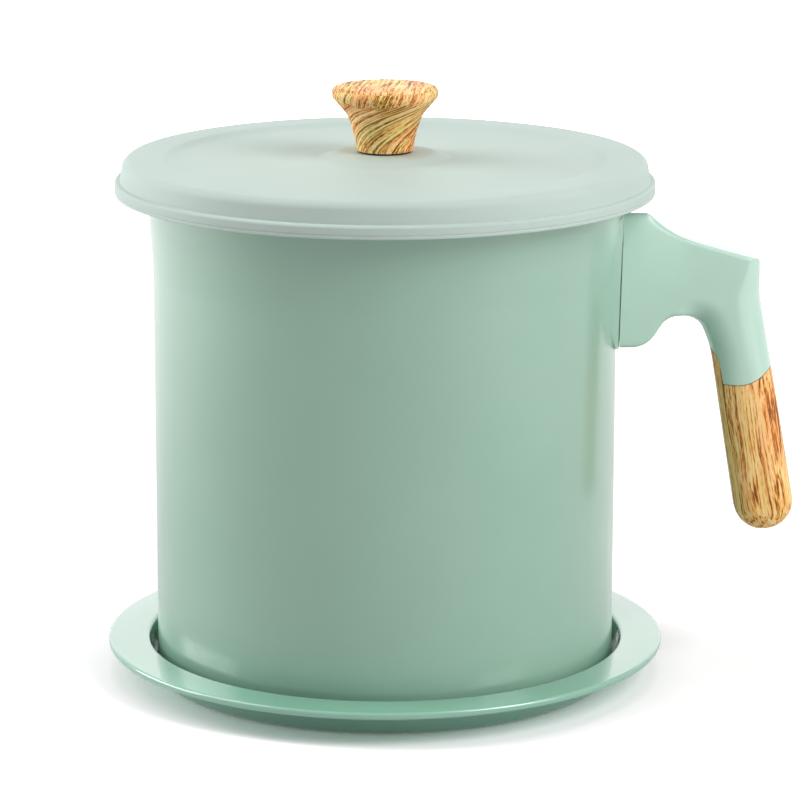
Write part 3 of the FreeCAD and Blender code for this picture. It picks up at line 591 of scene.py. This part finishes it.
def tableAt(rows, at):
    # a smooth line through the rows
    at = max(rows[0][0], min(rows[-1][0], at))
    i = next(n for n in range(1, len(rows)) if at <= rows[n][0])
    low, high = rows[i - 1], rows[i]
    before, after = rows[max(i - 2, 0)], rows[min(i + 1, len(rows) - 1)]
    wide = high[0] - low[0]
    t = (at - low[0]) / wide
    values = []
    for a, b, c, d in zip(before[1:], low[1:], high[1:], after[1:]):
        leave = (c - a) / (high[0] - before[0]) * wide
        arrive = (d - b) / (after[0] - low[0]) * wide
        values.append((2 * t ** 3 - 3 * t ** 2 + 1) * b + (t ** 3 - 2 * t ** 2 + t) * leave
                      + (3 * t ** 2 - 2 * t ** 3) * c + (t ** 3 - t ** 2) * arrive)
    return values


def ramp(value, low, high):
    # a soft step from 0 at low to 1 at high
    share = max(0.0, min(1.0, (value - low) / (high - low)))
    return share * share * (3 - 2 * share)


def nearestOn(path, point):
    # the nearest place on a bent line: how far off, where, and how far along the line
    best, place, along, travelled = 1e9, path[0], 0.0, 0.0
    for a, b in zip(path, path[1:]):
        run = b - a
        if run.length_squared < 1e-12:
            continue
        share = max(0.0, min(1.0, (point - a).dot(run) / run.length_squared))
        near = a + run * share
        gap = (point - near).length
        if gap < best:
            best, place, along = gap, near, travelled + run.length * share
        travelled += run.length
    return best, place, along


def roundedDepth(distance, radius):
    # how far the flank has come out at this distance in from the outline
    if distance >= radius:
        return 0.0
    return radius - math.sqrt(max(0.0, radius * radius - (radius - distance) ** 2))


def shoulderWidth(distance, half, facet, depth, power):
    # half-width under the thumb rest: leaves the facet's edge at an angle, then turns down
    return half - max(0.0, 1 - distance / depth) ** power * (half - facet)


def heightAt(path, x):
    # height of a line that runs from left to right
    for a, b in zip(path, path[1:]):
        if a.x <= x <= b.x:
            return a.y + (b.y - a.y) * (x - a.x) / max(b.x - a.x, 1e-9)
    return path[0].y if x < path[0].x else path[-1].y


def eased(values, spread):
    # the same at the ends, with its corners worn away over the spread
    return sum(values(k * spread / 4) * (5 - abs(k)) for k in range(-4, 5)) / 25


def alongPath(path, distances):
    # points at the given distances along a bent line
    points, travelled, i = [], 0.0, 0
    for wanted in distances:
        while i < len(path) - 2 and travelled + (path[i + 1] - path[i]).length < wanted:
            travelled += (path[i + 1] - path[i]).length
            i += 1
        step = path[i + 1] - path[i]
        share = (wanted - travelled) / max(step.length, 1e-9)
        points.append(path[i] + step * max(0.0, min(1.0, share)))
    return points


def lengthOf(path):
    return sum((b - a).length for a, b in zip(path, path[1:]))


def spreadOut(marks, counts):
    # every stretch between two marks in its own number of equal steps
    places = [a + (b - a) * (step / count)
              for a, b, count in zip(marks, marks[1:], counts) for step in range(count)]
    return places + [marks[-1]]


def handleForm(size, material):
    # arm and grip as one closed form, to be cut along the seam
    whole = roundedPath([c for part in ("top", "side", "tip", "under") for c in size[part]],
                        closed=False, arcStep=5)
    topLine = roundedPath(size["top"][:-1] + [size["topOn"]], closed=False, arcStep=5)
    sideLine = roundedPath([size["sideOn"][0]] + size["side"][:-1] + [size["sideOn"][1]],
                           closed=False, arcStep=5)
    underLine = roundedPath([size["underOn"]] + size["under"], closed=False, arcStep=5)
    split = nearestOn(whole, Vector(size["tipMeets"]))[2]
    rest = lengthOf(whole) - split
    fine = size["fineSteps"]
    outer = alongPath(whole, [split * i / fine for i in range(fine + 1)])
    inner = alongPath(whole[::-1], [rest * i / fine for i in range(fine + 1)])
    outerMarks = [nearestOn(outer, Vector(o))[2] for o, _ in facing]
    innerMarks = [nearestOn(inner, Vector(i))[2] for _, i in facing]
    # the last marks run round the tip from both sides until they meet
    outerMarks.append(lengthOf(outer) - size["tipGap"])
    innerMarks.append(lengthOf(inner) - size["tipGap"])
    gaps = [max(b - a, d - c)
            for a, b, c, d in zip(outerMarks, outerMarks[1:], innerMarks, innerMarks[1:])]
    counts = [max(4, round(size["stations"] * gap / sum(gaps))) for gap in gaps]
    outerPoints = alongPath(outer, spreadOut(outerMarks, counts))
    innerPoints = alongPath(inner, spreadOut(innerMarks, counts))

    def halfAt(point, half):
        top = nearestOn(topLine, point)[0]
        below = eased(lambda shift: heightAt(topLine, point.x + shift), size["topEase"]) - point.y
        facet, depth, power = tableAt(thumbRest, point.x)
        side = nearestOn(sideLine, point)[0]
        under, underPlace, _ = nearestOn(underLine, point)
        # the outer edge is a crisp fold at the elbow and a plain round further down
        fold = ramp(point.y, *size["foldComes"])
        outer = roundedDepth(side, size["sideRound"]) * (1 - fold) + fold * (
            roundedDepth(side, size["elbowRound"])
            + size["elbowSlope"] * max(0.0, size["elbowFrom"] - side))
        # the finger side: small round at the heel, lip and soft fall from the arch down
        lip = (size["lipDeep"] * max(0.0, 1 - under / size["lipWide"]) ** size["lipPower"]
               * ramp(underPlace.x, *size["lipComes"]))
        fall = (size["fallDeep"] * max(0.0, 1 - under / size["fallWide"]) ** 2
                * ramp(underPlace.x, *size["fallComes"]))
        heel = roundedDepth(under, size["innerRound"])
        inner = heel * (1 - ramp(underPlace.x, *size["heelGoes"])) + lip + fall
        if point.x > size["gripOut"] and point.y < size["gripBelow"]:
            # the end of the grip is round all over
            nearTip = ramp(size["endFrom"] - point.y, 0, size["endOver"])
            end = roundedDepth(nearestOn(whole, point)[0], size["tipRound"])
            return min(half - outer * (1 - nearTip) - end * nearTip,
                       half - inner * (1 - nearTip) - end * nearTip)
        flank = shoulderWidth(max(0.0, below), half, facet, depth, power)
        return min(flank - roundedDepth(top, size["edgeRound"]), half - outer, half - inner)

    def seated(y, z):
        # a place on the root's curved seat
        wider = size["seatWider"] * (z - size["seatFrom"]) / size["seatHeight"]
        radius = size["seatRadius"] + wider
        return math.sqrt(radius * radius - y * y), y, z

    steps = size["flankSteps"]
    levels = [0.5 * (1 - math.cos(math.pi * k / steps)) for k in range(steps + 1)]
    vertices, columns = [], []
    for station, (o, i) in enumerate(zip(outerPoints, innerPoints)):
        rows = []
        for level in levels:
            point = i + (o - i) * level
            taper = (point.x - size["rootAt"]) / (size["tipAt"] - size["rootAt"])
            half = size["rootHalf"] + (size["tipHalf"] - size["rootHalf"]) * taper
            rows.append((point, halfAt(point, half)))
        # once around: front flank up, across the top, back flank down, across the underside
        ring = [(point.x, -half, point.y) for point, half in rows]
        point, half = rows[-1]
        ring += [(point.x, half * share, point.y) for share in size["bridge"]]
        ring += [(point.x, half, point.y) for point, half in reversed(rows)]
        point, half = rows[0]
        ring += [(point.x, half * share, point.y) for share in reversed(size["bridge"])]
        if station == 0:
            ring = [seated(y, z) for _, y, z in ring]
        columns.append(range(len(vertices), len(vertices) + len(ring)))
        vertices.extend(ring)
    around = len(columns[0])
    faces = [(a[k], a[(k + 1) % around], b[(k + 1) % around], b[k])
             for a, b in zip(columns, columns[1:]) for k in range(around)]
    faces.append(tuple(columns[-1]))
    middle = len(vertices)
    vertices.append(size["seatMiddle"])
    faces += [(columns[0][k], columns[0][(k + 1) % around], middle) for k in range(around)]
    return makeObject("handle_form", vertices, faces, material, None)


# where the arm ends and the grip starts, and the grip's tongue inside the arm's fork
seam = {
    "level": 82.2, "turn": 100.55, "slope": 0.75, "bend": 12.0, "gap": 0.2,
    "tongueHalf": 5.5, "tongueTop": 91.8, "tongueRound": 4.6, "tongueFrom": 84,
    "tongueDepth": 101.45,
    # how far the cutters reach past the handle: out, down, to each side, and down for the tongue
    "cutOut": 125.0, "cutLow": 30, "cutSide": 14, "tongueLow": 72,
}
# the sinks of the two screws: where they start, how they lean, how far they go in; the grip's
# starts a little below its tip
sinks = {"radius": 3.8, "armFoot": (70.05, 0, 85), "armLean": 0, "armDepth": 14.1,
         "gripFoot": (106.85, 0, 40.2), "gripLean": 9.83, "gripBelow": 5, "gripDepth": 14.0}


def between(name, near, far, material):
    # a closed cutter between two outlines that have the same number of corners
    count = len(near)
    faces = [tuple(range(count)), tuple(range(count, 2 * count))]
    faces += [(i, (i + 1) % count, count + (i + 1) % count, count + i) for i in range(count)]
    return makeObject(name, near + far, faces, material, None)


def prism(name, corners, low, high, axis, material):
    # an outline pushed through along Y or X
    path = roundedPath(corners, arcStep=6)
    near, far = [[(p.x, along, p.y) if axis == "Y" else (along, p.x, p.y) for p in path]
                 for along in (low, high)]
    return between(name, near, far, material)


def rod(name, foot, radius, length, lean, material, turns=48):
    # a round cutter standing at foot and leaning in towards the pot by lean degrees
    slope = math.radians(lean)
    up = Vector((-math.sin(slope), 0, math.cos(slope)))
    across = Vector((math.cos(slope), 0, math.sin(slope)))
    ends = []
    for along in (0, length):
        ring = []
        for i in range(turns):
            angle = 2 * math.pi * i / turns
            p = Vector(foot) + up * along + across * radius * math.cos(angle)
            ring.append((p.x, p.y + radius * math.sin(angle), p.z))
        ends.append(ring)
    return between(name, *ends, material)


def carved(thing, cutters):
    # booleans applied to the mesh
    for cutter, how in cutters:
        step = thing.modifiers.new("carve", "BOOLEAN")
        step.operation = how
        step.solver = "EXACT"
        step.object = cutter
    depsgraph = bpy.context.evaluated_depsgraph_get()
    mesh = bpy.data.meshes.new_from_object(thing.evaluated_get(depsgraph))
    thing.modifiers.clear()
    thing.data = mesh
    mesh.shade_smooth()
    mesh.set_sharp_from_angle(angle=math.radians(sharpFrom))
    return thing


def seamZone(name, size, gap, material):
    out = size["cutOut"]
    low = size["cutLow"]
    level = size["level"] + gap
    block = prism(name, [
        (size["tongueFrom"], low), (out, low), (out, level + (out - size["turn"]) * size["slope"]),
        (size["turn"], level, size["bend"]), (size["tongueFrom"], level),
    ], -size["cutSide"], size["cutSide"], "Y", material)
    half = size["tongueHalf"] + gap
    top = size["tongueTop"] + gap
    tongue = prism(name + "_tongue", [
        (-half, size["tongueLow"]), (half, size["tongueLow"]),
        (half, top, size["tongueRound"]), (-half, top, size["tongueRound"]),
    ], size["tongueFrom"], size["tongueDepth"] + gap, "X", material)
    return carved(block, [(tongue, "UNION")]), tongue


def makeHandle():
    arm = handleForm(handle, greenMoulding)
    grip = handleForm(handle, gripGrain)
    armZone, armTongue = seamZone("arm_cutter", seam, seam["gap"], greenMoulding)
    gripZone, gripTongue = seamZone("grip_cutter", seam, 0.0, gripGrain)
    lean = math.radians(sinks["gripLean"])
    along = Vector((-math.sin(lean), 0, math.cos(lean)))
    gripFoot = Vector(sinks["gripFoot"]) - along * sinks["gripBelow"]
    armSink = rod("arm_sink", sinks["armFoot"], sinks["radius"], sinks["armDepth"],
                  sinks["armLean"], greenMoulding)
    gripSink = rod("grip_sink", gripFoot, sinks["radius"], sinks["gripDepth"],
                   sinks["gripLean"], gripGrain)
    carved(arm, [(armZone, "DIFFERENCE"), (armSink, "DIFFERENCE")])
    carved(grip, [(gripZone, "INTERSECT"), (gripSink, "DIFFERENCE")])
    for cutter in (armZone, armTongue, gripZone, gripTongue, armSink, gripSink):
        bpy.data.objects.remove(cutter)
    arm.name = "arm_moulding"
    grip.name = "grip_moulding"
    for piece, node, slot in ((arm, "handle_arm", "green_moulding"),
                              (grip, "handle_grip", "wood_grain_moulding")):
        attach(piece, "pot")
        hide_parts(node)
        print(piece.name, len(piece.data.polygons), "faces")


makeHandle()
print("handle made")


# real cloth of this kind has a wire every 0.5 mm or so, a third as thick: drawn coarser here so
# that it shows, with wires flattened to the same share of the pitch
weave = {"radius": 54.8, "pitch": 1.6, "wire": 0.19, "wide": 0.56, "level": 108.4, "wave": 0.52}


def makeWeave(size):
    # every wire is a flat four-sided bar that passes over one crossing wire and under the next
    vertices, faces = [], []
    count = int(size["radius"] / size["pitch"])
    wave = size["wire"] * size["wave"]
    for way in (0, 1):
        for n in range(-count, count + 1):
            across = n * size["pitch"]
            reach = math.sqrt(size["radius"] ** 2 - across ** 2)
            steps = int(reach / size["pitch"]) * 2
            previous = None
            for step in range(-steps, steps + 1):
                along = step * size["pitch"] / 2
                crossing = step // 2 + n + way
                lift = 0.0 if step % 2 else (wave if crossing % 2 else -wave)
                ring = []
                for side, up in ((-1, 0), (0, -1), (1, 0), (0, 1)):
                    offset = across + side * size["wide"] / 2
                    z = size["level"] + lift + up * size["wire"] / 2
                    ring.append(len(vertices))
                    vertices.append((along, offset, z) if way == 0 else (offset, along, z))
                if previous:
                    faces += [(previous[k], previous[(k + 1) % 4], ring[(k + 1) % 4], ring[k])
                              for k in range(4)]
                else:
                    faces.append(tuple(ring))
                previous = ring
            faces.append(tuple(previous))
    piece = makeObject("woven_mesh", vertices, faces, wire, "strainer", sharpAngle=100)
    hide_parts("strainer_mesh")


makeWeave(weave)
print("woven mesh made")


# rim is the level of the flange's underside; the wall narrows a little to its low end
cup = {"rim": 143.5, "sheet": 0.7, "wall": 62.0, "low": 60.4, "depth": 36.0, "floor": 51.0,
       "lip": 67.4}


def makeCup(size):
    sheet = size["sheet"]
    low = -size["depth"]
    piece = turned("cup_drawn", [
        (size["floor"], low, 0.2), (size["low"], low, 4.7), (size["wall"], 0, 1.5),
        (size["lip"], 0, 0.3), (size["lip"], sheet, 0.3), (size["wall"] - sheet, sheet, 2.2),
        (size["low"] - sheet, low + sheet, 4.0), (size["floor"], low + sheet, 0.2),
    ], stainless, "strainer", size["rim"], turns=200)
    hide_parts("strainer_cup")


makeCup(cup)
print("strainer made")


finishes = {
    "handle_bracket": coatedSteel, "handle_lug": zinc, "handle_washer": zinc, "handle_screw": zinc,
    "grip_insert": brass, "grip_washer": zinc, "grip_screw": zinc, "mesh_ring": stainless,
    "knob_gasket": rubber, "knob_insert": brass, "knob_washer": zinc, "knob_screw": zinc,
    "drip_tray": coatedTray, "pot_body": coatedSteel, "lid_panel": coatedLidPaintedLight,
    "lid_knob": knobGrain, "handle_arm": greenMoulding, "handle_grip": gripGrain,
    "strainer_cup": stainless, "strainer_mesh": wire,
}
for node, material in finishes.items():
    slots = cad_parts[node].data.materials
    slots.clear()
    slots.append(material)
print("packed pieces finished")


studio = {
    "floorHalf": 6.0,
    "floorColour": "#DADADA",  # as it lights the object
    "floorSeen": (1.40, 1.34, 1.37),  # as the camera sees it, against the green thrown on it
    "floorGlow": 0.02,         # own light beside the object, to the camera
    "floorMirrored": 0.2,      # and in reflections
    "glowGrows": (0.25, 1.0),  # it grows to full white between these metres from the middle
    "worldLight": 0.12,
    "lampAim": (0, 0, 0.08),
    # each lamp: place, width and height in metres, watts
    "lamps": {
        "leftLow": ((-1.18, 0.21, 0.40), (0.90, 0.70), 9.4),
        "leftHigh": ((-0.88, 0.0, 1.05), (0.60, 0.70), 4.3),
        "rightHigh": ((0.80, -0.60, 0.88), (0.55, 0.70), 7.4),
        "rightLow": ((1.04, -0.60, 0.50), (0.55, 0.90), 4.9),
        "overhead": ((0, 0.05, 1.30), (0.90, 0.90), 4.2),
        "behind": ((0, 1.30, 0.46), (2.00, 0.75), 2.4),
    },
}


def areaLamp(name, place, size, power, aim):
    lamp = bpy.data.lights.new(name, "AREA")
    lamp.shape = "RECTANGLE"
    lamp.size, lamp.size_y = size
    lamp.energy = power
    thing = bpy.data.objects.new(name, lamp)
    thing.location = place
    thing.rotation_euler = (Vector(aim) - Vector(place)).to_track_quat("-Z", "Y").to_euler()
    bpy.context.scene.collection.objects.link(thing)


def makeStudio(look):
    material = bpy.data.materials.new("paperFloor")
    material.use_nodes = True
    tree = material.node_tree
    tree.nodes.clear()
    # white to the camera and in reflections, and the diffuse part keeps the shadow
    rays = addNode(tree, "ShaderNodeLightPath")
    mirrored = addNode(tree, "ShaderNodeMath", {
        0: (rays, "Is Glossy Ray"), 1: (rays, "Is Transmission Ray")}, operation="MAXIMUM")
    shown = addNode(tree, "ShaderNodeMath", {
        0: (mirrored, 0), 1: (rays, "Is Camera Ray")}, operation="MAXIMUM")
    near = addNode(tree, "ShaderNodeMapRange", {
        "Value": (mirrored, 0), "To Min": look["floorGlow"], "To Max": look["floorMirrored"]})
    spot = addNode(tree, "ShaderNodeTexCoord")
    reach = addNode(tree, "ShaderNodeVectorMath", {0: (spot, "Object")}, operation="LENGTH")
    fade = addNode(tree, "ShaderNodeMapRange", {
        "Value": (reach, "Value"), "From Min": look["glowGrows"][0],
        "From Max": look["glowGrows"][1], "To Min": (near, 0), "To Max": 1.0})
    glow = addNode(tree, "ShaderNodeMath", {0: (shown, 0), 1: (fade, 0)}, operation="MULTIPLY")
    white = addNode(tree, "ShaderNodeEmission", {"Strength": (glow, 0)})
    lit = toLinear(look["floorColour"])[:3]
    change = tuple(a - b for a, b in zip(look["floorSeen"], lit))
    shade = addNode(tree, "ShaderNodeVectorMath", {
        0: change, 1: (rays, "Is Camera Ray"), 2: lit}, operation="MULTIPLY_ADD")
    paper = addNode(tree, "ShaderNodeBsdfDiffuse", {"Color": (shade, 0)})
    both = addNode(tree, "ShaderNodeAddShader", {0: (white, 0), 1: (paper, 0)})
    finishMaterial(tree, both)
    half = look["floorHalf"] / mm
    corners = [(-half, -half, 0), (half, -half, 0), (half, half, 0), (-half, half, 0)]
    floor = makeObject("floor", corners, [(0, 1, 2, 3)], material, None)

    world = bpy.data.worlds.new("whiteStudio")
    bpy.context.scene.world = world
    world.use_nodes = True
    tree = world.node_tree
    tree.nodes.clear()
    rays = addNode(tree, "ShaderNodeLightPath")
    seen = addNode(tree, "ShaderNodeMath", {
        0: (rays, "Is Camera Ray"), 1: (rays, "Is Glossy Ray")}, operation="MAXIMUM")
    shown = addNode(tree, "ShaderNodeMath", {
        0: (seen, 0), 1: (rays, "Is Transmission Ray")}, operation="MAXIMUM")
    level = addNode(tree, "ShaderNodeMapRange", {
        "Value": (shown, 0), "To Min": look["worldLight"], "To Max": 1.0})
    light = addNode(tree, "ShaderNodeBackground", {
        "Color": (1, 1, 1, 1), "Strength": (level, 0)})
    addNode(tree, "ShaderNodeOutputWorld", {"Surface": (light, 0)})

    for name, (place, size, power) in look["lamps"].items():
        areaLamp(name, place, size, power, look["lampAim"])


makeStudio(studio)
print("studio made")


view = {"lens": 172.7, "sensor": 36, "place": (0, -1.038, 0.3193), "aim": (0, 0, 0.072),
        "shift": (0.01875, 0.01975)}
eye = bpy.data.cameras.new("camera")
eye.lens = view["lens"]
eye.sensor_width = view["sensor"]
eye.shift_x, eye.shift_y = view["shift"]
camera = bpy.data.objects.new("camera", eye)
camera.location = view["place"]
ahead = Vector(view["aim"]) - Vector(view["place"])
camera.rotation_euler = ahead.to_track_quat("-Z", "Y").to_euler()
bpy.context.scene.collection.objects.link(camera)
bpy.context.scene.camera = camera
bpy.context.scene.view_settings.view_transform = "Standard"
